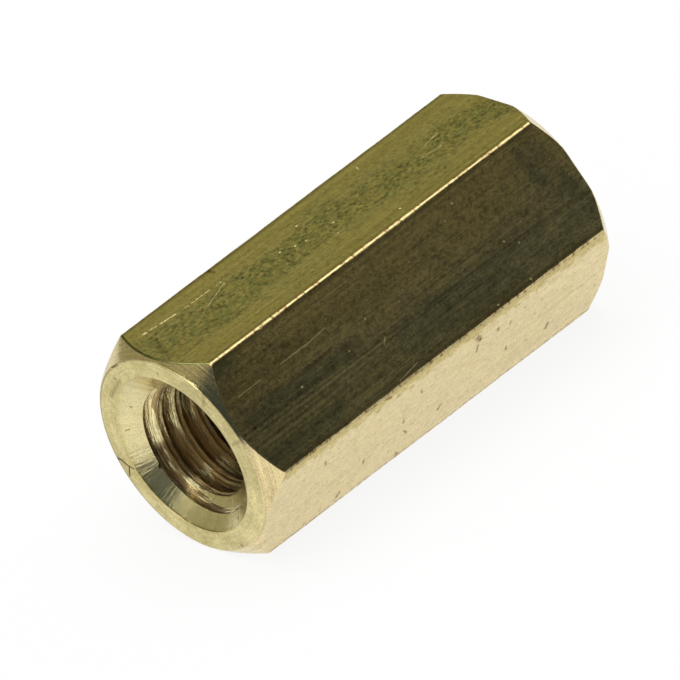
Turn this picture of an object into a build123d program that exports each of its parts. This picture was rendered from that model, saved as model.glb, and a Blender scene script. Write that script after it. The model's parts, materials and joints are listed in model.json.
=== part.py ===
"""Hex standoff: a drawn brass hex bar, turned square and chamfered at both ends, drilled and tapped through.

It lies along Y on one of its flats, with the middle of that flat at the origin. The face end, which was
turned first, points to -Y. The end where the piece was parted off the bar points to +Y.
"""
import os
from math import cos, radians

from build123d import *

# The bar and its length
across_flats = 4.6
length = 10.0
bar_edge_radius = 0.1

# Turned chamfers at 45 degrees, measured along the axis at the sharp corners of the hexagon
face_chamfer = 0.42
parted_chamfer = 0.31

# The tapped bore: the wall that an M3 tap leaves between its grooves, and the countersink at each mouth
thread_core_diameter = 2.5
countersink_diameter = 3.65
countersink_angle = 100

# How far the turned envelope stands clear of the bar where it cuts nothing
envelope_clearance = 0.5

# Worked out from the sizes above
hex_sides = 6
corner_radius = across_flats / 2 / cos(radians(180 / hex_sides))
face_radius = corner_radius - face_chamfer
parted_radius = corner_radius - parted_chamfer
envelope_radius = corner_radius + envelope_clearance
axis_height = across_flats / 2

# The planes of the two ends, both looking outwards, and the axis that they share
face_end = Plane(origin=(0, -length / 2, axis_height), x_dir=(1, 0, 0), z_dir=(0, -1, 0))
parted_end = Plane(origin=(0, length / 2, axis_height), x_dir=(1, 0, 0), z_dir=(0, 1, 0))
turning_axis = Axis(origin=(0, 0, axis_height), direction=(0, 1, 0))

# Half section of the turning: its first coordinate is the place along Y, its second the radius
turning_plane = Plane(origin=(0, 0, axis_height), x_dir=(0, 1, 0), z_dir=(1, 0, 0))

with BuildPart() as standoff:
    # The drawn bar, with a flat below and a flat on top
    with BuildSketch(face_end):
        RegularPolygon(radius=across_flats / 2, side_count=hex_sides, major_radius=False)
        fillet(vertices(), radius=bar_edge_radius)
    extrude(amount=-length)

    # Both ends are turned: a cone meets each flat in a scallop and leaves a round face
    with BuildSketch(turning_plane):
        with BuildLine():
            Polyline(
                (-length / 2, 0),
                (-length / 2, face_radius),
                (-length / 2 + face_chamfer + envelope_clearance, envelope_radius),
                (length / 2 - parted_chamfer - envelope_clearance, envelope_radius),
                (length / 2, parted_radius),
                (length / 2, 0),
                close=True,
            )
        make_face()
    revolve(axis=turning_axis, mode=Mode.INTERSECT)

    # One bore right through, countersunk from both ends
    with Locations(face_end, parted_end):
        CounterSinkHole(
            radius=thread_core_diameter / 2,
            counter_sink_radius=countersink_diameter / 2,
            depth=length,
            counter_sink_angle=countersink_angle,
        )

standoff.part.label = "standoff"

os.makedirs("parts", exist_ok=True)
export_step(standoff.part, "parts/standoff.step")
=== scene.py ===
"""Hex standoff in bare brass: the dressed piece, its finishes and a small studio around it.

The standoff is one closed surface worked out from a few sizes: a drawn hexagonal bar, two turned ends,
countersinks and a right-hand thread. Lengths are in metres, and the bar lies along Y.
"""
import json
from math import cos, pi, radians, sin, sqrt, tan

import bpy
import numpy as np
from bpy.props import FloatProperty, FloatVectorProperty, PointerProperty
from mathutils import Matrix, Vector


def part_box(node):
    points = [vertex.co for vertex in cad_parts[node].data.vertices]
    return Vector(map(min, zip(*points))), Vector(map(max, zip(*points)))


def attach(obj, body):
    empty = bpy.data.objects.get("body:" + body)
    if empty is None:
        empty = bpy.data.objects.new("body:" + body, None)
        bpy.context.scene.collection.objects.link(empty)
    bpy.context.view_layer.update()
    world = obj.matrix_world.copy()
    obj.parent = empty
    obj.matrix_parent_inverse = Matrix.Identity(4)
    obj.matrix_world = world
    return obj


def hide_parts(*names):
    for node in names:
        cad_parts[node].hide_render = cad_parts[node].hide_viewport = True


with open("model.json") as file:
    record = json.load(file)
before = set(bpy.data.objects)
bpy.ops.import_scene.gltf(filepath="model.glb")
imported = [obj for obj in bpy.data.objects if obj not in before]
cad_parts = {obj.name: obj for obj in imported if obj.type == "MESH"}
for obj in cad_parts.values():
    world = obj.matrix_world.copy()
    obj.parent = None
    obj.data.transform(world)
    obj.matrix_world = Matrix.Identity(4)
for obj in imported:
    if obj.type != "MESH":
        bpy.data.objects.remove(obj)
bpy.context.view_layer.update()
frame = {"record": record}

bl_info = {
    "name": "Hex standoff",
    "version": (1, 0, 0),
    "blender": (4, 5, 0),
    "location": "View3D > Sidebar > Standoff",
    "description": "Builds a tapped hex standoff in drawn and turned brass, with a plain studio",
    "category": "Object",
}

NODE = "standoff"
MM = 0.001

# The frame gives the sizes that the solid already has
CAD_LOW, CAD_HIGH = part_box(NODE)
THREAD_MOUNT = next(m for m in frame["record"]["mounts"] if m["name"] == "face_end_thread")
CORE_RADIUS = THREAD_MOUNT["dims"]["r_mm"] * MM
BAR_LENGTH = CAD_HIGH.y - CAD_LOW.y
COUNTERSINK_DEPTH = (BAR_LENGTH - THREAD_MOUNT["dims"]["length_mm"] * MM) / 2


def length_setting(name, description, default):
    """A length in metres that a user may change."""
    return FloatProperty(
        name=name, description=description, default=default, min=0, precision=6, unit="LENGTH"
    )


def share_setting(name, description, default, top=1):
    """A share from 0 to 1, or a brightness from 0 to top, that a user may change."""
    return FloatProperty(
        name=name, description=description, default=default, min=0, max=top, subtype="FACTOR"
    )


def angle_setting(name, description, degrees):
    """An angle that a user may change."""
    return FloatProperty(name=name, description=description, default=radians(degrees), subtype="ANGLE")


def colour_setting(name, description, default):
    """A colour, in linear light, that a user may change."""
    return FloatVectorProperty(
        name=name, description=description, default=default, min=0, max=1, subtype="COLOR"
    )


class StandoffSizes(bpy.types.PropertyGroup):
    """Sizes of the bar, its turned ends and its thread"""

    across_flats: length_setting("Across flats", "Width over two opposite flats", CAD_HIGH.z - CAD_LOW.z)
    length: length_setting("Length", "From end face to end face", BAR_LENGTH)
    edge_radius: length_setting("Edge radius", "Rounding of the drawn bar's long edges", 0.1 * MM)
    face_chamfer: length_setting("Face chamfer", "Along the axis at a sharp corner, at -Y", 0.42 * MM)
    parted_chamfer: length_setting("Parted chamfer", "Along the axis at a sharp corner, at +Y", 0.31 * MM)
    core_radius: length_setting("Core radius", "Radius inside the thread's crests", CORE_RADIUS)
    groove_radius: length_setting("Groove radius", "Radius at the bottom of the grooves", 1.565 * MM)
    pitch: length_setting("Pitch", "Advance of the thread in one turn", 0.5 * MM)
    crest_width: length_setting("Crest width", "Between the two lips of a formed crest", 0.13 * MM)
    crest_seam: length_setting("Crest seam", "Depth of the seam that forming leaves in a crest", 0.03 * MM)
    flank_score: length_setting("Flank score", "Depth of scores on the flank that faces -Y", 0.014 * MM)
    thread_start: length_setting("Thread start", "First crest below the face end, on top", 0.29 * MM)
    rim_radius: length_setting("Rim radius", "Countersink at the end face", 1.825 * MM)
    countersink: length_setting("Countersink", "Depth from the end face to the core", COUNTERSINK_DEPTH)
    edge_break: length_setting("Edge break", "Width taken off the turned edges", 0.01 * MM)
    edge_roll: length_setting("Edge roll", "Flat rolled over beside the face end's chamfer", 0.03 * MM)


class BrassFinish(bpy.types.PropertyGroup):
    """Colours of the brass"""

    drawn: colour_setting("Drawn brass", "Clean flats", (0.73, 0.60, 0.312))
    faced: colour_setting("Faced brass", "Dull end faces", (0.58, 0.50, 0.22))
    bored: colour_setting("Bored brass", "Bright countersinks", (0.72, 0.63, 0.335))
    formed: colour_setting("Formed brass", "Flanks of the thread", (0.91, 0.79, 0.42))
    # Olive also paints shade on the left of the face end's chamfer and on its rolled edge.
    olive: colour_setting("Olive", "Handled, slightly tarnished metal", (0.27, 0.27, 0.092))
    tan: colour_setting("Tan", "Worn edges and warm tarnish", (0.66, 0.50, 0.18))
    gold: colour_setting("Gold", "The lower flat's worn upper edge", (0.60, 0.47, 0.14))
    slate: colour_setting("Slate", "Greyish tarnish on the side flat", (0.29, 0.295, 0.18))
    # Brown also paints shade on the top flat's rolled edge.
    brown: colour_setting("Brown", "Tarnish in pits and grooves", (0.20, 0.13, 0.05))
    # Grime also paints shade on the thread's lower side.
    grime: colour_setting("Grime", "Dirt in the thread", (0.25, 0.15, 0.047))
    # Bright is also the colour of painted glints on the flats and in the thread.
    bright: colour_setting("Bright", "Freshly cut or scratched metal", (0.90, 0.80, 0.46))


class StudioSetup(bpy.types.PropertyGroup):
    """Floor, surround and camera"""

    floor_colour: colour_setting("Floor", "Pale floor", (0.97, 0.97, 0.97))
    floor_glow: share_setting("Floor glow", "How much of the floor is plain white rather than lit", 0.88)
    right_cloth: colour_setting("Right cloth", "Dark cloth to the right and behind", (0.076, 0.078, 0.059))
    back_cloth: colour_setting("Back cloth", "Olive cloth behind, to the left", (0.21, 0.22, 0.08))
    left_cloth: colour_setting("Left cloth", "Pale cloth on the left", (0.38, 0.37, 0.265))
    front_cloth: colour_setting("Front cloth", "Dark cloth in front", (0.05, 0.065, 0.075))
    card: colour_setting("Card", "White card in front, to the left", (1.0, 1.0, 0.95))
    card_glow: share_setting("Card glow", "Brightness of the white card", 7, 10)
    azimuth: angle_setting("Azimuth", "Camera round the standoff, from -Y towards +X", 54.16)
    elevation: angle_setting("Elevation", "Camera above the floor", 30.26)
    roll: angle_setting("Roll", "Turn of the camera about its own line of sight", -17.17)
    view_width: length_setting("View width", "Width of the picture at the standoff", 13.618 * MM)


# The view of the photograph

PHOTO_SIZE = 680
STANDOFF_MIDDLE_PIXEL = (352.74, 323.85)


def view_axes(studio):
    """Right, up and back of the camera: level axes at its azimuth and elevation, rolled about its sight."""
    level = Vector((cos(studio.azimuth), sin(studio.azimuth), 0))
    back = Vector((0, 0, sin(studio.elevation)))
    back += Vector((level.y, -level.x, 0)) * cos(studio.elevation)
    upright = back.cross(level)
    right = level * cos(studio.roll) + upright * sin(studio.roll)
    return right, back.cross(right), back


def pixel_offset(studio, pixel):
    """Where a pixel of the photograph lies in the camera's plane, measured from the standoff's middle."""
    right, up, _ = view_axes(studio)
    size = studio.view_width / PHOTO_SIZE
    column, row = STANDOFF_MIDDLE_PIXEL
    return (right * (pixel[0] - column) + up * (row - pixel[1])) * size


# Grids and welding

WELD_STEP = 1e-7


def turned(radius, angle, along, axis_height):
    """Points round the bar's axis: x = r sin a, y along the bar, z = height of the axis + r cos a."""
    radius, angle, along = np.broadcast_arrays(radius, angle, along)
    return np.stack([radius * np.sin(angle), along, axis_height + radius * np.cos(angle)], axis=-1)


def grid_faces(rows, columns):
    """Quads of a grid that closes round its columns, wound so that rows along the path face outwards."""
    ids = np.arange(rows * columns).reshape(rows, columns)
    right = np.roll(ids, -1, axis=1)
    return np.stack([ids[:-1], right[:-1], right[1:], ids[1:]], axis=-1).reshape(-1, 4)


def welded(points, faces, finishes):
    """Joins points that share a place on a fine lattice, and drops the faces that this leaves flat.

    A quad with one side of no length becomes a triangle; one with two such sides is dropped.
    """
    lattice = np.round(points / WELD_STEP).astype(np.int64)
    _, first, joined = np.unique(lattice, axis=0, return_index=True, return_inverse=True)
    faces = joined.reshape(-1)[faces]
    short = faces == np.roll(faces, -1, axis=1)
    sides = 4 - short.sum(axis=1)
    quads = faces[sides == 4]
    triangles = faces[sides == 3][~short[sides == 3]].reshape(-1, 3)
    finish = np.concatenate([finishes[sides == 4], finishes[sides == 3]])
    return points[first], quads, triangles, finish


# The shape of the standoff

SECTORS = 6
FLAT_SHARES = np.concatenate([[-1, -0.985], np.linspace(-0.95, 0.95, 15), [0.985, 1]])
ROUND_SHARES = np.linspace(-1, 1, 8)[1:-1]
WALL_SHARES = np.concatenate([[0, 0.004, 0.01, 0.02], np.linspace(0.03, 0.97, 95), [0.98, 0.99, 0.996, 1]])
RING_SHARES = np.linspace(0, 1, 6)
CHAMFER_SHARES = np.linspace(0, 1, 7)
ROLL_SHARES = np.linspace(0, 1, 6)[1:-1]
DRAWN, TURNED, TAPPED, TOP_FLAT, SIDE_FLAT = range(5)
SECTOR_FINISH = np.array([TOP_FLAT, SIDE_FLAT, DRAWN, DRAWN, DRAWN, DRAWN])

# Sines that wear the long edges: height as a share, waves along the bar and phase from corner to corner.
# The wear is full from 1 / EDGE_FADE of the length in from each end.
EDGE_WAVES = ((0.5, 2.3, 1.7), (0.3, 7.1, 2.9), (0.2, 19.0, 4.1))
EDGE_WEAR_SHARE = 0.25
EDGE_FADE = 12


def edge_wear(shares):
    """Edge radius along each corner as a share of the nominal one: 1 plus sines, faded out at the ends."""
    corner = np.arange(SECTORS)
    along = 2 * pi * shares[:, None]
    waves = sum(height * np.sin(count * along + phase * corner) for height, count, phase in EDGE_WAVES)
    fade = np.minimum(1, EDGE_FADE * np.minimum(shares, 1 - shares))[:, None]
    return 1 + EDGE_WEAR_SHARE * fade * waves


def bar_section(sizes, wear):
    """Radius and angle of the rounded hexagon, one row for each row of wear.

    On a flat the section is the line at half the width across flats. At a corner it is an arc of the edge
    radius about a point on the corner's line, set back by that radius over the cosine of 30 degrees.
    """
    half = pi / SECTORS
    apothem = sizes.across_flats / 2
    edge = sizes.edge_radius * wear[:, :, None]
    normal = 2 * half * np.arange(SECTORS)[None, :, None]
    reach = (apothem - edge) * tan(half)
    flat_across = reach * FLAT_SHARES
    flat = np.stack([apothem + 0 * flat_across, flat_across])
    centre = (apothem - edge) / cos(half)
    turn = half * ROUND_SHARES
    arc_out = centre * cos(half) + edge * np.cos(half + turn)
    arc_across = centre * sin(half) + edge * np.sin(half + turn)
    out, across = np.concatenate([flat, np.stack([arc_out, arc_across])], axis=-1)
    angle = normal + np.arctan2(across, out)
    return np.hypot(out, across).reshape(len(wear), -1), angle.reshape(len(wear), -1)


def outer_rows(sizes):
    """Rows of points from the face end's countersink rim, round the outside, to the rim at the parted end.

    Each end is a flat ring, then a cone at 45 degrees that meets the bar where its radius equals the bar's.
    At the face end a quadratic curve rolls the cone over into the flat: (1 - t)^2 of a point on the cone,
    2 t (1 - t) of the sharp corner and t^2 of a point on the flat.
    """
    radius, angle = bar_section(sizes, edge_wear(WALL_SHARES))
    corner = sizes.across_flats / 2 / cos(pi / SECTORS)
    half = sizes.length / 2
    lip = sizes.edge_break
    slope = lip / sqrt(2)
    roll = sizes.edge_roll
    rim = sizes.rim_radius
    near_angle, far_angle = angle[0], angle[-1]
    near_wall, far_wall = radius[0], radius[-1]
    face = corner - sizes.face_chamfer
    parted = corner - sizes.parted_chamfer

    ring = rim + lip + (face - rim - 2 * lip) * RING_SHARES[:, None]
    rows = [(ring, near_angle, -half)]
    cone_start = face + slope
    cone_end = np.maximum(cone_start, near_wall - roll / 2)
    cone = cone_start + (cone_end - cone_start) * CHAMFER_SHARES[:, None]
    rows.append((cone, near_angle, cone - face - half))

    share = ROLL_SHARES[:, None]
    brink = near_wall - face - half
    rolled = near_wall - (1 - share) ** 2 * (near_wall - cone_end)
    rolled_along = brink - (1 - share) ** 2 * (near_wall - cone_end) + share ** 2 * roll
    rows.append((rolled, near_angle, rolled_along))

    wall_start = brink + roll
    wall_end = half - np.maximum(far_wall - parted, 0) - lip
    wall = wall_start + (wall_end - wall_start) * WALL_SHARES[:, None]
    rows.append((radius, angle, wall))

    cone_start = far_wall - slope
    cone_end = np.minimum(cone_start, parted + slope)
    cone = cone_start + (cone_end - cone_start) * CHAMFER_SHARES[:, None]
    rows.append((cone, far_angle, half - np.maximum(cone - parted, 0)))
    ring = np.minimum(cone_start, parted - lip)
    ring = ring + (rim + lip - ring) * RING_SHARES[:, None]
    rows.append((ring, far_angle, half))

    points = [turned(*row, sizes.across_flats / 2) for row in rows]
    finish = np.repeat([TURNED, TURNED, TURNED, DRAWN, TURNED, TURNED], [len(p) for p in points])
    return np.concatenate(points), finish, near_angle


# The thread: places over its crest and flanks, the flanks' angle from the plane across the axis, the power
# of their curve, and the half waves of the scores along one of them
CREST_SHARES = np.array([0, 0.4, 0.8, 1])
FAR_FLANK_SHARES = np.array([0.12, 0.4, 1])
NEAR_FLANK_SHARES = np.linspace(1, 0, 14)[:-1]
FLANK_ANGLE = radians(30)
FLANK_POWER = 1.4
FLANK_SCORES = 7


def thread_profile(sizes):
    """Places over one pitch, as shares counted from a crest's middle, and the radius at each.

    The crest is a seam between two lips, a cosine valley. From the lips, flanks run down to the groove's
    bottom as a power of the distance, so that they start rounded and end steep. Scores along the flank that
    faces -Y are a sine of the distance, which fades out at both ends of the flank.
    """
    depth = sizes.groove_radius - sizes.core_radius
    lip = sizes.crest_width / 2 / sizes.pitch
    flank = depth * tan(FLANK_ANGLE) / sizes.pitch
    crest = lip * CREST_SHARES
    after = lip + flank * FAR_FLANK_SHARES
    before = lip + flank * NEAR_FLANK_SHARES
    share = np.concatenate([crest, after, [0.5], 1 - before, 1 - crest[:0:-1]])
    away = np.minimum(share, 1 - share)
    seam = sizes.crest_seam * np.cos(pi / 2 * np.minimum(away / lip, 1))
    down = np.clip((away - lip) / flank, 0, 1)
    scores = sizes.flank_score * np.sin(FLANK_SCORES * pi * down) * np.sin(pi * down) * (share > 0.5)
    return share, sizes.core_radius + np.where(away < lip, seam, depth * down ** FLANK_POWER + scores)


def bore_rows(sizes, angle):
    """Helical rows of the tapped bore, from rim to rim, as points and as quads.

    Every row follows the helix y = start + pitch * angle / turn, so each carries one point of the thread's
    profile. Where a countersink is wider than the thread, the point lies on that cone instead, and past the
    rim it stays on the rim, where welding joins it to its neighbours. Points beside the line where thread
    and cone meet are moved onto that line.
    """
    half = sizes.length / 2
    slope = sizes.edge_break / sqrt(2)
    share, profile = thread_profile(sizes)
    steps = len(share)
    start = sizes.thread_start - half - 2 * sizes.pitch
    turns = int(np.ceil((half - start) / sizes.pitch)) + 1
    row = np.arange(turns * steps + 1)
    climb = start + sizes.pitch * (row // steps + share[row % steps])
    along = climb[:, None] + sizes.pitch * angle / (2 * pi)
    along = np.clip(along, slope - half, half - slope)
    thread = profile[row % steps][:, None] + 0 * along
    steep = (sizes.rim_radius - sizes.core_radius) / sizes.countersink
    excess = sizes.rim_radius - steep * (half - np.abs(along)) - thread

    meets = excess[:-1] * excess[1:] < 0
    part = np.where(meets, excess[:-1], 0) / np.where(meets, excess[:-1] - excess[1:], 1)
    line = along[:-1] + part * (along[1:] - along[:-1])
    before = meets & (part < 0.5)
    after = meets & ~before
    along[:-1][before] = line[before]
    thread[:-1][before] = 0
    along[1:][after] = line[after]
    thread[1:][after] = 0
    cone = sizes.rim_radius - steep * (half - np.abs(along))
    points = turned(np.maximum(thread, cone), angle, along, sizes.across_flats / 2)

    columns = len(angle)
    ids = np.arange(len(row) * columns).reshape(len(row), columns)
    seam = ids[np.minimum(row + steps, len(row) - 1), :1]
    right = np.concatenate([ids[:, 1:], seam], axis=1)
    faces = np.stack([ids[:-1], ids[1:], right[1:], right[:-1]], axis=-1).reshape(-1, 4)
    return points, faces, np.full(len(faces), TAPPED)


def standoff_surface(sizes):
    """The whole closed surface: the outside and the bore, each from rim to rim, and the two lips between."""
    outside, outside_finish, angle = outer_rows(sizes)
    rows, columns = outside.shape[:2]
    bore, bore_faces, bore_finish = bore_rows(sizes, angle)
    outside_faces = grid_faces(rows, columns)
    outside_count = rows * columns
    bore_faces = bore_faces + outside_count
    last_bore_row = outside_count + (len(bore) - 1) * columns
    column = np.arange(columns)
    near_bore = outside_count + column
    near = np.stack([near_bore, np.roll(near_bore, -1), np.roll(column, -1), column], axis=-1)
    far_outside = outside_count - columns + column
    far_bore = last_bore_row + column
    far = np.stack([far_outside, np.roll(far_outside, -1), np.roll(far_bore, -1), far_bore], axis=-1)
    points = np.concatenate([outside.reshape(-1, 3), bore.reshape(-1, 3)])
    faces = np.concatenate([outside_faces, bore_faces, near, far])
    row_finish = np.minimum(outside_finish[:-1], outside_finish[1:])[:, None]
    flat_finish = np.repeat(SECTOR_FINISH, columns // SECTORS)
    outside_finish = np.where(row_finish == DRAWN, flat_finish, row_finish).reshape(-1)
    lip_finish = np.full(2 * columns, TURNED)
    finish = np.concatenate([outside_finish, bore_finish, lip_finish])
    return welded(points, faces, finish)


# Shader maths


class Signal:
    """A socket of a node tree. Arithmetic on it adds Math nodes, and node() adds any other node."""

    def __init__(self, tree, socket=None):
        self.tree = tree
        self.socket = socket

    def node(self, kind, settings=None, inputs=None, output=0):
        """Adds a node of that type: first its settings, then the values or links of its sockets.

        The setting called stops holds a colour ramp's places and colours.
        """
        made = self.tree.nodes.new(kind)
        for name, value in (settings or {}).items():
            if name == "stops":
                ramp = made.color_ramp.elements
                while len(ramp) < len(value):
                    ramp.new(1)
                for stop, (place, colour) in zip(ramp, value):
                    stop.position = place
                    stop.color = (*colour, 1)
            else:
                setattr(made, name, value)
        for key, value in (inputs or {}).items():
            if isinstance(value, Signal):
                self.tree.links.new(value.socket, made.inputs[key])
            else:
                made.inputs[key].default_value = value
        return Signal(self.tree, made.outputs[output] if made.outputs else None)

    def maths(self, operation, a, b=0.0):
        return self.node("ShaderNodeMath", {"operation": operation}, {0: a, 1: b})

    def __add__(self, other):
        return self.maths("ADD", self, other)

    def __radd__(self, other):
        return self.maths("ADD", other, self)

    def __sub__(self, other):
        return self.maths("SUBTRACT", self, other)

    def __rsub__(self, other):
        return self.maths("SUBTRACT", other, self)

    def __mul__(self, other):
        return self.maths("MULTIPLY", self, other)

    def __rmul__(self, other):
        return self.maths("MULTIPLY", other, self)

    def __truediv__(self, other):
        return self.maths("DIVIDE", self, other)

    def ramp(self, low, high):
        """0 below low, 1 above high, smooth between; low above high turns it round."""
        settings = {"interpolation_type": "SMOOTHSTEP"}
        return self.node("ShaderNodeMapRange", settings, {"Value": self, "From Min": low, "From Max": high})

    def root(self):
        """Square root, 0 for a value below 0."""
        return self.maths("SQRT", self.maths("MAXIMUM", self, 0.0))

    def size(self):
        """The value without its sign."""
        return self.maths("ABSOLUTE", self)

    def vector(self, operation, a, b, output="Vector"):
        return self.node("ShaderNodeVectorMath", {"operation": operation}, {0: a, 1: b}, output)

    def stretched(self, scales):
        """The vector times one scale for each axis."""
        return self.node("ShaderNodeVectorMath", {"operation": "MULTIPLY"}, {0: self, 1: scales})

    def noise(self, scales, detail=2.0, roughness=0.5):
        """Noise on this vector, with features 1 / scale long on each axis."""
        inputs = {"Vector": self.stretched(scales), "Scale": 1.0, "Detail": detail, "Roughness": roughness}
        return self.node("ShaderNodeTexNoise", None, inputs)

    def mixed(self, low, high):
        """A colour between low and high, with this signal as the share of high."""
        colours = [c if isinstance(c, Signal) else (*c, 1) for c in (low, high)]
        settings = {"data_type": "RGBA"}
        return self.node("ShaderNodeMix", settings, {0: self, 6: colours[0], 7: colours[1]}, 2)

    def shaded(self, share):
        """This colour times a value."""
        return self.node("ShaderNodeVectorMath", {"operation": "SCALE"}, {0: self, "Scale": share})

    def parts(self):
        """The three values of a vector."""
        made = self.node("ShaderNodeSeparateXYZ", None, {0: self})
        return [Signal(self.tree, out) for out in made.socket.node.outputs]


# Half the degrees over which a direction fades out, and how fine the ragged sides of marks are, per mm
SOFT_DEGREES = 6
RAGGED_SCALE = 20.0


class Bar:
    """Places on the standoff as signals, in millimetres from the middle of its axis."""

    def __init__(self, tree, sizes):
        start = Signal(tree)
        self.start = start
        self.apothem = sizes.across_flats / 2 / MM
        self.half = sizes.length / 2 / MM
        self.rim = sizes.rim_radius / MM
        self.core = sizes.core_radius / MM
        self.steep = (sizes.rim_radius - sizes.core_radius) / sizes.countersink
        self.roll = sizes.edge_roll / MM
        self.pitch = sizes.pitch / MM
        self.depth = (sizes.groove_radius - sizes.core_radius) / MM
        self.first_lip = (sizes.thread_start - sizes.crest_width / 2) / MM - self.half
        self.face_radius = self.apothem / cos(pi / SECTORS) - sizes.face_chamfer / MM
        metres = start.node("ShaderNodeTexCoord", output="Object")
        inputs = {0: metres, 1: (1 / MM, 1 / MM, 1 / MM), 2: (0, 0, -self.apothem)}
        self.place = start.node("ShaderNodeVectorMath", {"operation": "MULTIPLY_ADD"}, inputs)
        self.x, self.y, self.z = self.place.parts()
        self.radius = (self.x * self.x + self.z * self.z).root()
        self.inset = self.half - self.y.size()

    def across(self):
        """Distance from the middle line of whichever flat a point lies on."""
        return (self.x * self.x + self.z * self.z - self.apothem * self.apothem).root()

    def across_flat(self, degrees):
        """Distance across the flat turned that far from the top, downwards from its middle."""
        turn = radians(degrees)
        return self.x * cos(turn) - self.z * sin(turn)

    def facing(self, degrees, reach):
        """1 within that many degrees of a direction about the axis, counted from the top towards +X."""
        turn = radians(degrees)
        towards = (self.x * sin(turn) + self.z * cos(turn)) / self.radius
        return towards.ramp(cos(radians(reach + SOFT_DEGREES)), cos(radians(reach - SOFT_DEGREES)))

    def rings(self, fine, around, detail=3.0):
        """Noise that changes quickly along the radius and slowly round the axis."""
        inputs = {0: self.radius * fine + self.inset * fine, 1: self.x * around, 2: self.z * around}
        return self.start.node("ShaderNodeCombineXYZ", None, inputs).noise((1, 1, 1), detail, 0.6)

    def winding(self, fine, around):
        """Noise that changes quickly across the thread and slowly along its helix; its seam lies on top."""
        turn = self.x.maths("ARCTAN2", self.x * -1, self.z * -1)
        climb = self.y - turn * (self.pitch / (2 * pi))
        inputs = {0: climb * fine, 1: self.x * around, 2: self.z * around}
        return self.start.node("ShaderNodeCombineXYZ", None, inputs).noise((1, 1, 1), 4, 0.65)

    def chatter(self, fine, along):
        """Noise that changes quickly round the axis and slowly along the bar."""
        inputs = {0: self.x / self.radius * fine, 1: self.z / self.radius * fine, 2: self.inset * along}
        return self.start.node("ShaderNodeCombineXYZ", None, inputs).noise((1, 1, 1), 3, 0.6)

    def brink(self):
        """How far past the face end's chamfer a point lies: 0 on the cone, 1 where its rolled edge ends."""
        return (self.face_radius + self.half + self.y - self.radius) / self.roll

    def dots(self, scale, size):
        """1 on round dots strewn at random, about scale to the millimetre; size is their radius."""
        inputs = {"Vector": self.place, "Scale": scale}
        return self.start.node("ShaderNodeTexVoronoi", None, inputs).ramp(size * scale, size * scale / 2)

    def on_flat(self, degrees, along, across):
        """The place on a flat at a distance along the bar and across the flat."""
        turn = radians(degrees)
        x = self.apothem * sin(turn) + across * cos(turn)
        return Vector((x, along, self.apothem * cos(turn) - across * sin(turn)))

    def on_end(self, degrees, radius):
        """The place on the face end, or in its countersink, at an angle from the top and a radius."""
        turn = radians(degrees)
        inset = max(0, self.rim - radius) / self.steep
        return Vector((radius * sin(turn), inset - self.half, radius * cos(turn)))

    def on_flank(self, turn, degrees, share):
        """The place on the flank that faces -Y: crests in from the end, angle and share of the way down."""
        angle = radians(degrees)
        along = self.first_lip + self.pitch * (turn + degrees / 360) - share * self.depth * tan(FLANK_ANGLE)
        radius = self.core + self.depth * share ** FLANK_POWER
        return Vector((radius * sin(angle), along, radius * cos(angle)))

    def marks(self, strokes, rag):
        """1 on strokes from one place to another, each with its half width, and sides as ragged as rag."""
        inputs = {"Vector": self.place, "Scale": RAGGED_SCALE}
        shake = self.start.node("ShaderNodeTexNoise", None, inputs, "Color")
        shake = shake.vector("SUBTRACT", shake, (0.5, 0.5, 0.5)).stretched((rag, rag, rag))
        ragged = shake.vector("ADD", shake, self.place)
        nearest = None
        for first, last, half_width in strokes:
            reach = last - first
            along = first
            if reach.length > 0:
                offset = ragged.vector("SUBTRACT", ragged, first)
                share = offset.vector("DOT_PRODUCT", offset, reach / reach.length_squared, "Value")
                share = share.node("ShaderNodeClamp", None, {"Value": share})
                inputs = {0: reach, 1: share.vector("MULTIPLY", share, (1, 1, 1)), 2: first}
                along = share.node("ShaderNodeVectorMath", {"operation": "MULTIPLY_ADD"}, inputs)
            gap = ragged.vector("DISTANCE", ragged, along, "Value") / half_width
            nearest = gap if nearest is None else gap.maths("MINIMUM", gap, nearest)
        return nearest.ramp(1.2, 0.5)

    def flat_marks(self, degrees, strokes, rag):
        """Marks on a flat, from (along, across) to (along, across)."""
        placed = [(self.on_flat(degrees, *a), self.on_flat(degrees, *b), width) for a, b, width in strokes]
        return self.marks(placed, rag)

    def flat_spots(self, degrees, spots, rag):
        """Small spots on a flat, each at (along, across, radius)."""
        return self.flat_marks(degrees, [((y, v), (y, v), r) for y, v, r in spots], rag)

    def flank_marks(self, strokes, rag):
        """Marks on the thread, from (turn, degrees, share) to (turn, degrees, share)."""
        return self.marks([(self.on_flank(*a), self.on_flank(*b), width) for a, b, width in strokes], rag)

    def end_marks(self, strokes, rag):
        """Marks on the face end, from (degrees, radius) to (degrees, radius)."""
        return self.marks([(self.on_end(*a), self.on_end(*b), width) for a, b, width in strokes], rag)


# Relief of the finishes in metres, and how strongly the dirt on them mirrors
DRAWN_RELIEF = 0.003 * MM
SEEN_FLAT_RELIEF = 0.002 * MM
TURNED_RELIEF = 0.003 * MM
TAPPED_RELIEF = 0.004 * MM
DIRT_SPECULAR = 0.2


def emptied(block):
    """Empties the node tree of a material or a world, and gives a signal that adds nodes to it."""
    block.use_nodes = True
    block.node_tree.nodes.clear()
    return Signal(block.node_tree)


def brass(name, paint, sizes, finish):
    """A brass material. Paint gives its colour, metal, roughness and height, and the height's relief."""
    material = bpy.data.materials.new(name)
    start = emptied(material)
    colour, metal, roughness, height, relief = paint(Bar(start.tree, sizes), finish)
    bump = start.node("ShaderNodeBump", None, {"Strength": 1.0, "Distance": relief, "Height": height})
    inputs = {"Base Color": colour, "Metallic": metal, "Roughness": roughness, "Normal": bump}
    inputs["Specular IOR Level"] = DIRT_SPECULAR
    surface = start.node("ShaderNodeBsdfPrincipled", None, inputs)
    start.node("ShaderNodeOutputMaterial", None, {"Surface": surface})
    return material
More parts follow.
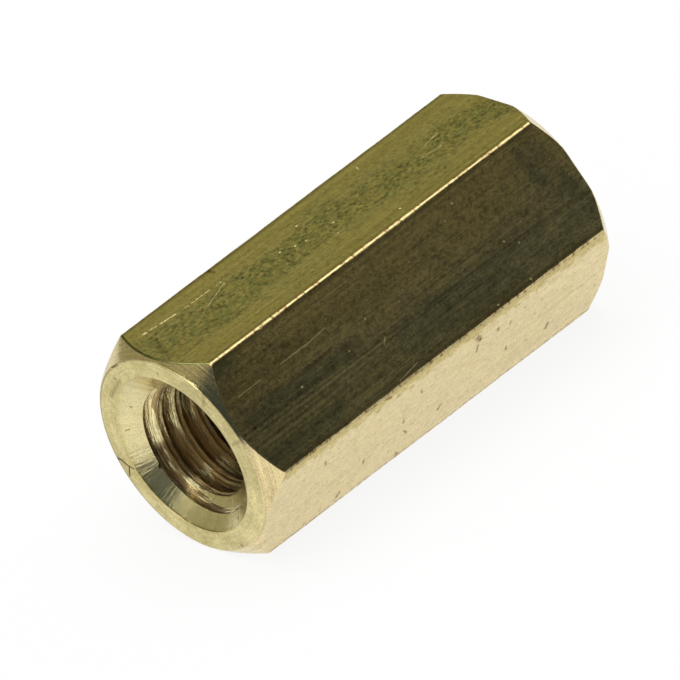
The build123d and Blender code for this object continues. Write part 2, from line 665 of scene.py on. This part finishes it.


# Marks that the bar has picked up, and painted glints: a stroke from one place to another and its half
# width, or a place and a radius, in millimetres. A flat is named by its turn from the top in degrees. On a
# flat a place is along the bar from its middle and across the flat, on an end it is degrees from the top and
# radius, and in the thread it is crests in from the end, degrees from the top and share of the way down the
# flank.
TOP, SIDE, LOWER = 0, 60, 120
TOP_BEADS = (((-4.4, -0.86), (-3.5, -0.74), 0.022), ((-3.5, -0.73), (-2.2, -0.70), 0.018))
TOP_SCRATCHES = (
    ((-3.05, -0.31), (-2.3, -0.60), 0.012),
    ((2.75, 0.05), (3.3, 0.13), 0.012),
    ((3.1, -0.2), (3.6, -0.3), 0.012),
    ((1.93, -0.93), (1.98, -1.05), 0.018),
)
TOP_STAINS = (
    ((-2.14, -1.28), (-2.1, -1.1), 0.05),
    ((-1.13, -0.12), (-1.15, 0.30), 0.022),
    ((-0.82, -0.02), (-0.86, 0.33), 0.025),
    ((-1.5, 0.28), (-1.5, 0.42), 0.035),
    ((-0.13, 0.52), (-0.13, 0.66), 0.02),
    ((3.2, -0.03), (3.2, 0.08), 0.03),
)
TOP_GLINTS = (
    (-1.0, -0.28, 0.03),
    (-0.70, -0.14, 0.03),
    (-0.45, -0.06, 0.025),
    (-0.15, -0.66, 0.025),
    (0.03, 0.38, 0.022),
    (0.27, 0.0, 0.03),
    (1.22, 1.0, 0.028),
)
SIDE_SCRATCHES = (
    ((-4.5, -0.46), (-3.85, -0.47), 0.011),
    ((-3.25, -0.48), (-2.55, -0.48), 0.013),
    ((-2.6, -0.47), (-1.95, -0.52), 0.013),
    ((-1.2, 1.24), (-0.6, 1.15), 0.012),
    ((-1.02, 0.46), (-0.92, 0.36), 0.014),
)
SIDE_STAINS = (
    ((-1.82, 0.02), (-1.78, 0.22), 0.12),
    ((-3.4, -0.05), (-2.1, -0.1), 0.05),
    ((-3.0, -0.72), (-2.85, -0.7), 0.07),
)
SIDE_SLATE = (
    ((-4.4, 0.12), (-1.6, 0.12), 0.24),
    ((-4.9, -1.2), (-4.2, -1.1), 0.28),
    ((-4.7, 0.95), (-2.7, 0.95), 0.18),
    ((-0.4, 0.62), (4.7, 0.78), 0.45),
    ((4.2, -0.85), (4.5, 0.3), 0.4),
)
SIDE_GLINTS = (
    (-3.15, 0.15, 0.028),
    (-1.78, 0.15, 0.025),
    (-1.05, -0.18, 0.028),
    (1.75, -0.78, 0.022),
    (2.12, -0.97, 0.025),
    (2.62, 0.27, 0.025),
    (2.9, 0.47, 0.025),
    (2.65, 1.2, 0.03),
    (1.68, 1.22, 0.025),
)
LOWER_PITS = (
    ((1.06, -0.93), (1.16, -0.78), 0.085),
    ((1.13, -0.62), (1.12, -0.42), 0.04),
    ((1.7, -0.70), (1.72, -0.60), 0.045),
    ((2.08, -0.6), (2.1, -0.5), 0.035),
    ((2.1, 0.24), (2.12, 0.38), 0.04),
    ((3.34, 0.70), (3.38, 0.58), 0.06),
    ((0.18, 0.66), (0.26, 0.58), 0.045),
    ((-0.82, 0.54), (-0.74, 0.66), 0.045),
    ((-2.69, 1.08), (-2.65, 0.98), 0.05),
    ((-2.02, 0.45), (-2.0, 0.6), 0.035),
    ((-0.97, 1.12), (-0.93, 1.22), 0.04),
    ((-0.92, 0.05), (-0.9, 0.18), 0.035),
    ((-0.5, -0.54), (-0.47, -0.42), 0.035),
    ((-3.31, -0.6), (-3.28, -0.48), 0.035),
    ((-1.7, -1.27), (-1.5, -1.15), 0.05),
)
FACE_SPECKS = (
    ((317, 2.05), (317, 2.01), 0.03),
    ((2, 2.0), (2, 1.95), 0.03),
    ((322, 2.22), (328, 2.19), 0.03),
    ((336, 2.21), (336, 2.19), 0.025),
    ((150, 2.2), (151, 2.17), 0.03),
)
FACE_SMUDGES = (
    ((37, 2.24), (39, 1.98), 0.05),
    ((67, 2.2), (68, 1.95), 0.05),
    ((300, 1.95), (320, 1.93), 0.05),
)
FACE_FIBRE = (
    ((253.5, 2.24), (252, 2.12), 0.024),
    ((252, 2.12), (248.5, 2.02), 0.024),
    ((248.5, 2.02), (245, 1.87), 0.02),
    ((242, 2.15), (247, 1.98), 0.02),
)
# Painted glints on three turns of the thread
THREAD_GLINTS = (
    ((0, 204, 0.12), (0, 212, 0.14), 0.016),
    ((0, 207, 0.32), (0, 214, 0.34), 0.014),
    ((1, 206, 0.06), (1, 215, 0.08), 0.02),
    ((1, 205, 0.3), (1, 213, 0.32), 0.018),
    ((1, 208, 0.55), (1, 214, 0.57), 0.016),
    ((2, 203, 0.42), (2, 212, 0.44), 0.018),
    ((2, 206, 0.75), (2, 214, 0.78), 0.02),
)
SINK_SPECKS = (
    ((272.3, 1.71), (273, 1.64), 0.018),
    ((294.5, 1.585), (294, 1.57), 0.025),
    ((140, 1.71), (140.5, 1.69), 0.03),
)


def drawing_noise(bar):
    """What drawing and handling leave on every flat: streaks, fine lines, grain, mottles and clouds."""
    streaks = bar.place.noise((15, 0.18, 15), 4, 0.6)
    lines = bar.place.noise((44, 0.5, 44), 2, 0.5)
    grain = bar.place.noise((15, 11, 15), 3, 0.65)
    mottle = bar.place.noise((7, 5, 7), 4, 0.65)
    clouds = bar.place.noise((1.2, 0.6, 1.2), 3, 0.5)
    return streaks, lines, grain, mottle, clouds


def edge_dirt(bar, grain):
    """Broken brown lines beside the long edges, and nicks in the edges."""
    across = bar.across()
    border = across.ramp(1.17, 1.25) * across.ramp(1.32, 1.285) * grain.ramp(0.36, 0.6)
    nicks = across.ramp(1.25, 1.29) * bar.place.noise((6, 7, 6), 3, 0.7).ramp(0.51, 0.62)
    return 0.6 * border + 0.7 * nicks


def drawn_flats(bar, finish):
    """The lower flat and the hidden ones: pale, with faint streaks, flecks, pits and a worn upper edge."""
    streaks, lines, grain, mottle, clouds = drawing_noise(bar)
    worn = (bar.across_flat(LOWER) + (mottle - 0.5) * 0.9).ramp(-0.95, -1.15) * bar.facing(LOWER, 40)
    spots = bar.place.noise((11, 8, 8), 3, 0.6)
    flecks = spots.ramp(0.58, 0.68) + 0.9 * bar.dots(5, 0.04) + 0.7 * bar.dots(9, 0.025)
    pits = bar.flat_marks(LOWER, LOWER_PITS, 0.12) * (0.4 + grain) + 0.45 * flecks

    colour = (0.25 * clouds.ramp(0.5, 0.7)).mixed(finish.drawn, finish.tan)
    colour = worn.mixed(colour, finish.gold)
    colour = ((0.8 - 0.5 * worn) * edge_dirt(bar, grain) + 0.6 * pits).mixed(colour, finish.brown)
    shade = 0.5 * (mottle - 0.5) + 0.5 * (spots - 0.5) + 0.4 * (streaks - 0.5)
    colour = colour.shaded(1 + shade + worn * (grain - 0.58))
    roughness = 0.2 + 0.1 * streaks + 0.3 * pits
    height = streaks + 0.4 * lines + 0.4 * spots - pits
    return colour, 1.0, roughness, height, DRAWN_RELIEF


def top_flat(bar, finish):
    """The top flat: clean beside its edges, dulled olive along its middle, with specks and scratches."""
    streaks, lines, grain, mottle, clouds = drawing_noise(bar)
    middle = (bar.across_flat(TOP).size() + (clouds - 0.5) * 1.8).ramp(0.95, 0.15)
    speckle = bar.place.noise((12, 7, 12), 4, 0.7)
    dulled = middle * (0.1 + 0.9 * (speckle + 0.5 * (streaks - 0.5)).ramp(0.43, 0.56))
    stains = bar.flat_marks(TOP, TOP_STAINS, 0.06)
    beads = 0.7 * bar.flat_marks(TOP, TOP_BEADS, 0.08) * bar.place.noise((12, 12, 12), 1).ramp(0.46, 0.58)
    # Painted glints: bright spots and specks, mixed with the beads and scratches.
    glints = beads + 0.35 * bar.flat_marks(TOP, TOP_SCRATCHES, 0.01)
    glints = glints + 0.8 * bar.flat_spots(TOP, TOP_GLINTS, 0.03) + 0.3 * middle * bar.dots(8, 0.013)
    # Painted shade: a dark line on the rolled edge beside the face end's chamfer, which hides that edge's
    # highlight, strongest a little left of the top.
    rolled_edge_shade = (bar.brink() + 0.6 * (mottle - 0.5)).ramp(1.2, 0.7) * (0.3 + 0.6 * bar.facing(340, 18))

    colour = (0.35 + 0.2 * (clouds - 0.5)).mixed(finish.drawn, finish.tan)
    colour = (0.9 * dulled).mixed(colour, finish.olive)
    pepper = (0.2 + 0.8 * middle) * grain.ramp(0.44, 0.36)
    colour = (edge_dirt(bar, grain) + 0.6 * stains + rolled_edge_shade + 0.3 * pepper).mixed(colour, finish.brown)
    shade = (1.1 + 0.8 * middle) * (grain - 0.5) + 0.8 * (streaks - 0.5) + 0.6 * (lines - 0.5)
    colour = colour.shaded(1.12 + shade - 0.5 * rolled_edge_shade - 0.22 * pepper - 0.15 * dulled)
    colour = glints.mixed(colour, finish.bright)
    roughness = 0.2 + 0.1 * streaks + 0.1 * dulled + 0.5 * glints
    height = streaks + 0.4 * lines + 0.4 * grain + glints - 0.5 * stains
    return colour, 1.0, roughness, height, SEEN_FLAT_RELIEF


def side_flat(bar, finish):
    """The side flat: warm beside its upper edge, olive below, with draw lines, stains and scratches."""
    streaks, lines, grain, mottle, clouds = drawing_noise(bar)
    blots = bar.place.noise((3.0, 2.0, 3.0), 4, 0.6)
    drag = bar.place.noise((26, 0.15, 26), 3, 0.6)
    across = bar.across_flat(SIDE)
    shaded = (0.5 * across - 0.1 * bar.y + (clouds - 0.5) * 3 + 3 * (blots - 0.5)).ramp(-0.7, 1.0)
    warm = (across + (clouds - 0.5) * 2 + 2 * (blots - 0.5)).ramp(0.4, -1.0)
    lined = (across + (clouds - 0.5) * 2).ramp(-0.6, 0.6)
    stains = bar.flat_marks(SIDE, SIDE_STAINS, 0.12)
    # Painted glints: bright spots and specks, mixed with the scratches.
    glints = 0.3 * bar.flat_marks(SIDE, SIDE_SCRATCHES, 0.02) + 0.5 * bar.flat_spots(SIDE, SIDE_GLINTS, 0.03)
    glints = glints + 0.16 * bar.dots(6, 0.014)

    slate = bar.flat_marks(SIDE, SIDE_SLATE, 0.5) * (0.4 + 0.6 * (blots + streaks - 0.5).ramp(0.35, 0.6))
    colour = (0.35 * shaded).mixed(finish.drawn, finish.olive)
    colour = (0.55 * warm).mixed(colour, finish.tan)
    colour = (0.65 * slate).mixed(colour, finish.slate)
    dirt = edge_dirt(bar, grain) + 0.4 * stains + 0.3 * grain.ramp(0.58, 0.68)
    colour = dirt.mixed(colour, finish.brown)
    shade = 1.8 * (grain - 0.5) + (mottle - 0.5) + 0.6 * (streaks - 0.5) + 0.6 * (lines - 0.5)
    shade = shade + 0.1 * warm + lined * (0.7 * streaks + 1.4 * drag - 1.05)
    colour = colour.shaded(1.05 + shade - 0.28 * bar.y.ramp(-2, -5))
    colour = glints.mixed(colour, finish.bright)
    roughness = 0.2 + 0.1 * streaks + 0.5 * glints
    height = streaks + 0.4 * lines + 0.2 * grain + glints - 0.5 * stains
    return colour, 1.0, roughness, height, SEEN_FLAT_RELIEF


def turned_ends(bar, finish):
    """Faced and chamfered ends: tool rings, pale and dull mottles, specks, smudges and a caught fibre."""
    place = bar.place
    rings = bar.rings(22, 0.7)
    wide = bar.rings(6, 0.9, 2)
    clouds = place.noise((2.5, 2.5, 2.5), 3, 0.5)
    mottle = place.noise((9, 9, 9), 3, 0.6)
    grain = place.noise((26, 26, 26), 2, 0.6)
    face = bar.inset.ramp(0.02, 0.002)
    specks = bar.end_marks(FACE_SPECKS, 0.04) + face * (0.6 * bar.dots(5, 0.025) + 0.4 * bar.dots(9, 0.02))
    smudges = bar.end_marks(FACE_SMUDGES, 0.12)
    fibre = bar.end_marks(FACE_FIBRE, 0.004)
    pale = face * ((0.6 * clouds + 0.4 * mottle).ramp(0.46, 0.62) + 0.4 * bar.facing(125, 36))
    rim = face * bar.radius.ramp(bar.face_radius - 0.045, bar.face_radius - 0.02) * mottle.ramp(0.35, 0.5)
    dull = (0.4 * clouds + 0.6 * mottle).ramp(0.5, 0.36)
    # Painted shade: the rolled edge is mixed towards olive and darkened, so that it shows no highlight,
    # darkest a little left of the top.
    rolled_edge_shade = (bar.apothem - bar.z).ramp(0.026, 0.014) * bar.y.ramp(0, -1) * (1 - face)
    # Painted shade: the left of the chamfer is mixed towards olive, so that it mirrors the pale floor more
    # darkly, and its rings are muted.
    left = (1 - face) * bar.facing(303, 43)

    colour = face.mixed(finish.drawn, finish.faced)
    colour = (0.4 * pale).mixed(colour, finish.bright)
    # Painted shade, stronger, over a narrower part of the chamfer's left.
    chamfer_shade = 0.5 * (1 - face) * bar.facing(284, 22)
    colour = (0.1 * left + chamfer_shade + 0.9 * rolled_edge_shade).mixed(colour, finish.olive)
    dirt = 0.22 * dull + 0.6 * specks + 0.4 * smudges + 0.6 * rim * bar.facing(285, 75) + fibre
    colour = dirt.mixed(colour, finish.brown)
    # Here worn only makes the face end a little darker round 60 degrees from the top.
    worn = face * bar.facing(60, 38)
    ringed = (0.5 + 0.7 * (1 - face)) * (rings - 0.5) + 0.4 * (wide - 0.5)
    shade = (1 - 0.6 * left) * ringed + 0.9 * (grain - 0.5) - (0.2 + 0.3 * bar.facing(344, 18)) * rolled_edge_shade
    colour = colour.shaded(1 + shade - 0.6 * fibre - 0.1 * worn)
    roughness = 0.13 + 0.1 * rings + 0.19 * face + 0.12 * pale
    height = (1 - 0.75 * left) * (rings + 0.6 * wide) + 0.4 * grain - 0.6 * specks
    return colour, 1.0, roughness, height, TURNED_RELIEF


def tapped_bore(bar, finish):
    """Bright countersinks with faint rings and a brown line at the rim, and the thread, streaked along its
    turns.
    """
    place = bar.place
    rings = bar.rings(17, 0.5)
    streaks = bar.winding(19, 1.2)
    bands = bar.winding(7, 0.8)
    hairs = bar.winding(26, 1.0).ramp(0.54, 0.62)
    chatter = bar.chatter(14, 2)
    clouds = place.noise((3, 3, 3), 4, 0.6)
    grain = place.noise((26, 26, 26), 2, 0.6)
    cone = bar.rim - bar.steep * bar.inset
    tapped = (bar.radius - cone).ramp(0.002, 0.01)
    deep = bar.radius.ramp(bar.core + 0.1, bar.core + 0.2)
    crest = bar.radius.ramp(bar.core + 0.07, bar.core + 0.03)
    # Dirt and painted shade on the thread's lower side, where it would mirror the pale floor.
    dirt_and_shade_side = bar.facing(231, 21)
    brim = bar.inset.ramp(0.03, 0.008) * bar.facing(204, 38)
    lip = (bar.radius - cone).size().ramp(0.03, 0.008) * tapped
    specks = bar.end_marks(SINK_SPECKS, 0.03)

    sink = (bar.inset.ramp(0.0, 0.08)).mixed(finish.faced, finish.bored)
    sink = (0.5 * (0.5 * rings + 0.5 * clouds).ramp(0.5, 0.8)).mixed(sink, finish.tan)
    sink = (0.8 * brim + 0.7 * specks).mixed(sink, finish.brown)
    sink = sink.shaded(1 + 0.7 * (grain - 0.5) + 0.5 * (rings - 0.5) + 0.4 * (chatter - 0.5))
    lower = bar.facing(165, 30)
    lined = 0.55 * streaks + 0.45 * bands + 0.05 * crest + 0.03 * deep + 0.06 * lower
    lined = lined.ramp(0.51, 0.55)
    sunk = bar.inset.ramp(0.9, 1.6)
    # Here dirt is both dirt and painted shade: it mixes towards grime, darkens near the mouth and mirrors
    # less.
    dirt = dirt_and_shade_side * (0.6 * streaks + 0.4 * bands).ramp(0.38, 0.46)
    thread = (0.9 * lined + 0.3 * sunk).mixed(finish.formed, finish.grime)
    thread = (0.7 * lip + 0.3 * deep).mixed(thread, finish.brown)
    thread = dirt.mixed(thread, finish.grime)
    shade = 1.05 + 3 * (streaks - 0.5) - 0.4 * lower - 0.2 * bar.facing(110, 40)
    thread = thread.shaded(shade + (0.3 - 0.9 * bar.inset.ramp(1.0, 0.7)) * dirt)
    thread = (0.75 * hairs).mixed(thread, finish.formed)
    # Painted glints: bright, less metallic spots on the thread where its flanks would catch the light.
    painted_glints = bar.flank_marks(THREAD_GLINTS, 0.01)
    thread = painted_glints.mixed(thread, finish.bright)
    colour = tapped.mixed(sink, thread)
    metal = 1 - tapped * (0.08 + 0.35 * lined + 0.5 * dirt + 0.3 * sunk) * (1 - hairs) - 0.6 * painted_glints
    roughness = 0.2 + 0.1 * rings + tapped * (0.08 * streaks + 0.2 * dirt - 0.06)
    height = (1 - tapped) * (0.6 * rings + 3 * chatter) + tapped * (8 * streaks + bands + hairs)
    return colour, metal, roughness, height, TAPPED_RELIEF


# The standoff

SHARP_ANGLE = radians(35)

# Materials in the order of the finishes' numbers
FINISHES = {
    "drawn_brass": drawn_flats,
    "turned_brass": turned_ends,
    "tapped_brass": tapped_bore,
    "dulled_brass": top_flat,
    "lined_brass": side_flat,
}


def new_piece(name, points, faces):
    """A mesh object at the origin with those points and faces, smooth but for its sharp edges."""
    mesh = bpy.data.meshes.new(name)
    mesh.from_pydata(points.tolist(), [], [face.tolist() for group in faces for face in group])
    mesh.shade_smooth()
    mesh.set_sharp_from_angle(angle=SHARP_ANGLE)
    piece = bpy.data.objects.new(name, mesh)
    bpy.context.scene.collection.objects.link(piece)
    return piece


class STANDOFF_OT_body(bpy.types.Operator):
    """Build the standoff as one closed surface with its drawn, turned and tapped finishes"""

    bl_idname = "standoff.body"
    bl_label = "Standoff"

    def execute(self, context):
        sizes, finish = context.scene.standoff_sizes, context.scene.brass_finish
        points, quads, triangles, finishes = standoff_surface(sizes)
        piece = new_piece("standoff_body", points, (quads, triangles))
        for name, paint in FINISHES.items():
            piece.data.materials.append(brass(name, paint, sizes, finish))
        piece.data.polygons.foreach_set("material_index", finishes.astype(np.int32))
        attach(piece, "root")
        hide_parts(NODE)
        return {"FINISHED"}


# The studio, in metres

FLOOR_RADIUS = 0.4
FLOOR_SHARES = np.array([0.0, 0.02, 0.3, 1.0])
FLOOR_SIDES = 64
DRUM_RADIUS, DRUM_HEIGHT = 0.3, 0.36
DRUM_ROWS, DRUM_SIDES = 9, 96
LAMP_SIZE, LAMP_HEIGHT = 0.6, 0.42
LAMP_WATTS = 1.35
WORLD_LIGHT = 0.5
SENSOR_MM, LENS_MM = 36, 1500
SIGHT_END = 10

# Which cloth hangs where round the floor, in degrees from +X towards +Y
CLOTHS = (
    (-180, "left_cloth"),
    (-117, "left_cloth"),
    (-99, "front_cloth"),
    (-40, "front_cloth"),
    (0, "right_cloth"),
    (70, "right_cloth"),
    (125, "back_cloth"),
    (150, "back_cloth"),
    (180, "left_cloth"),
)

# The left cloth hangs over the front cloth too, down to this height and round to this direction in degrees
CLOTH_FOOT = 0.21
CLOTH_END = -88

# The white card: direction and width in degrees, lower and upper edge
CARD_DIRECTION, CARD_WIDTH = -108, 9
CARD_LOW, CARD_HIGH = 0.02, 0.13

# How softly cloths and card end: in height, and as a share of the way round
SOFT_HEIGHT = 0.01
SOFT_CLOTH_SHARE, SOFT_CARD_SHARE = 0.01, 0.003


def seen_rays(start):
    """1 for rays that show a surface: from the camera, or mirrored or passed on by metal and glass."""
    rays = start.node("ShaderNodeLightPath").socket.node.outputs
    names = ("Is Camera Ray", "Is Glossy Ray", "Is Transmission Ray")
    seen = [Signal(start.tree, rays[name]) for name in names]
    return start.maths("MINIMUM", seen[0] + seen[1] + seen[2], 1.0)


def floor_piece(studio):
    """A pale round floor of rings about its middle, part lit and part plain white, with a soft shadow."""
    rings = FLOOR_SHARES[:, None] * FLOOR_RADIUS
    angle = np.linspace(0, 2 * pi, FLOOR_SIDES + 1)[:-1]
    points = turned(rings, angle, 0.0, 0.0)[:, :, [0, 2, 1]].reshape(-1, 3)
    faces = grid_faces(len(rings), FLOOR_SIDES)
    points, quads, triangles, _ = welded(points, faces, np.zeros(len(faces), int))
    floor = new_piece("floor", points, (quads, triangles))
    material = bpy.data.materials.new("floor_white")
    start = emptied(material)
    lit = start.node("ShaderNodeBsdfDiffuse", None, {"Color": (*studio.floor_colour, 1)})
    white = start.node("ShaderNodeEmission", None, {"Color": (1, 1, 1, 1), "Strength": 1.0})
    glow = seen_rays(start) * studio.floor_glow
    surface = start.node("ShaderNodeMixShader", None, {0: glow, 1: lit, 2: white})
    start.node("ShaderNodeOutputMaterial", None, {"Surface": surface})
    floor.data.materials.append(material)
    return floor


def surround_piece(studio):
    """A drum of cloths round the floor that only the metal's reflections see: a circle carried up in rows.

    A narrow white card hangs on it in front, to the left, and gives the bore its glints.
    """
    angle = np.linspace(0, 2 * pi, DRUM_SIDES + 1)[:-1]
    rows = np.linspace(0, DRUM_HEIGHT, DRUM_ROWS)[:, None]
    circle = (DRUM_RADIUS * np.cos(angle), DRUM_RADIUS * np.sin(angle))
    points = np.stack(np.broadcast_arrays(*circle, rows), axis=-1)
    drum = new_piece("surround", points.reshape(-1, 3), (grid_faces(DRUM_ROWS, DRUM_SIDES),))
    material = bpy.data.materials.new("surround_cloth")
    start = emptied(material)
    x, y, z = start.node("ShaderNodeTexCoord", output="Object").parts()
    share = x.maths("ARCTAN2", y, x) / (2 * pi) + 0.5
    half_width = CARD_WIDTH / 720
    card = (share - CARD_DIRECTION / 360 - 0.5).size().ramp(half_width + SOFT_CARD_SHARE, half_width)
    card = card * z.ramp(CARD_LOW - SOFT_HEIGHT, CARD_LOW) * z.ramp(CARD_HIGH + SOFT_HEIGHT, CARD_HIGH)
    cloths = [(degrees / 360 + 0.5, tuple(getattr(studio, name))) for degrees, name in CLOTHS]
    cloth = share.node("ShaderNodeValToRGB", {"stops": cloths}, {"Fac": share})
    end = 0.5 + CLOTH_END / 360
    over = z.ramp(CLOTH_FOOT - SOFT_HEIGHT, CLOTH_FOOT + SOFT_HEIGHT)
    over = over * share.ramp(end, end - SOFT_CLOTH_SHARE)
    cloth = over.mixed(cloth, studio.left_cloth)
    cloth = card.mixed(cloth, studio.card).shaded(1 + card * (studio.card_glow - 1))
    glow = start.node("ShaderNodeEmission", None, {"Color": cloth, "Strength": 1.0})
    start.node("ShaderNodeOutputMaterial", None, {"Surface": glow})
    drum.data.materials.append(material)
    drum.visible_camera = False
    drum.visible_diffuse = False
    drum.visible_shadow = False
    drum.visible_transmission = False
    return drum


def hang_lamp(scene):
    """A wide round lamp over the standoff."""
    lamp = bpy.data.lights.new("overhead", "AREA")
    lamp.shape = "DISK"
    lamp.size = LAMP_SIZE
    lamp.energy = LAMP_WATTS
    lamp_object = bpy.data.objects.new("overhead", lamp)
    lamp_object.location = (0, 0, LAMP_HEIGHT)
    scene.collection.objects.link(lamp_object)


def light_world(scene):
    """A world that is white where it is seen, and dimmer in the light that it gives."""
    world = bpy.data.worlds.new("studio")
    start = emptied(world)
    ambient = start.node("ShaderNodeBackground", None, {"Color": (1, 1, 1, 1), "Strength": WORLD_LIGHT})
    white = start.node("ShaderNodeBackground", None, {"Color": (1, 1, 1, 1), "Strength": 1.0})
    surface = start.node("ShaderNodeMixShader", None, {0: seen_rays(start), 1: ambient, 2: white})
    start.node("ShaderNodeOutputWorld", None, {"Surface": surface})
    scene.world = world


def aim_camera(scene, studio):
    """A camera with a long lens that shows the standoff where the photograph has it."""
    camera = bpy.data.cameras.new("camera")
    camera.sensor_width = SENSOR_MM
    camera.lens = LENS_MM
    camera.clip_end = SIGHT_END
    right, up, back = view_axes(studio)
    middle = ((PHOTO_SIZE - 1) / 2, (PHOTO_SIZE - 1) / 2)
    aim = (CAD_LOW + CAD_HIGH) / 2 + pixel_offset(studio, middle)
    distance = studio.view_width * camera.lens / camera.sensor_width
    camera_object = bpy.data.objects.new("camera", camera)
    turn = Matrix((right, up, back)).transposed().to_4x4()
    camera_object.matrix_world = Matrix.Translation(aim + back * distance) @ turn
    scene.collection.objects.link(camera_object)
    scene.camera = camera_object


class STANDOFF_OT_stage(bpy.types.Operator):
    """Build the floor, the surround, the lamp, the world and the camera"""

    bl_idname = "standoff.stage"
    bl_label = "Stage"

    def execute(self, context):
        scene = context.scene
        studio = scene.studio_setup
        floor_piece(studio)
        surround_piece(studio)
        hang_lamp(scene)
        light_world(scene)
        aim_camera(scene, studio)
        scene.view_settings.view_transform = "Standard"
        return {"FINISHED"}


class STANDOFF_PT_panel(bpy.types.Panel):
    """Sizes, finishes and studio of the standoff"""

    bl_idname = "STANDOFF_PT_panel"
    bl_label = "Hex standoff"
    bl_space_type = "VIEW_3D"
    bl_region_type = "UI"
    bl_category = "Standoff"

    def draw(self, context):
        for group in (context.scene.standoff_sizes, context.scene.brass_finish, context.scene.studio_setup):
            for name in group.__annotations__:
                self.layout.prop(group, name)
        for operator in (STANDOFF_OT_body, STANDOFF_OT_stage):
            self.layout.operator(operator.bl_idname)


CLASSES = (StandoffSizes, BrassFinish, StudioSetup, STANDOFF_OT_body, STANDOFF_OT_stage, STANDOFF_PT_panel)
SETTINGS = {"standoff_sizes": StandoffSizes, "brass_finish": BrassFinish, "studio_setup": StudioSetup}


def register():
    for cls in CLASSES:
        bpy.utils.register_class(cls)
    for name, group in SETTINGS.items():
        setattr(bpy.types.Scene, name, PointerProperty(type=group))


def unregister():
    for name in SETTINGS:
        delattr(bpy.types.Scene, name)
    for cls in reversed(CLASSES):
        bpy.utils.unregister_class(cls)


def main():
    register()
    bpy.ops.standoff.body()
    bpy.ops.standoff.stage()


if __name__ == "__main__":
    main()
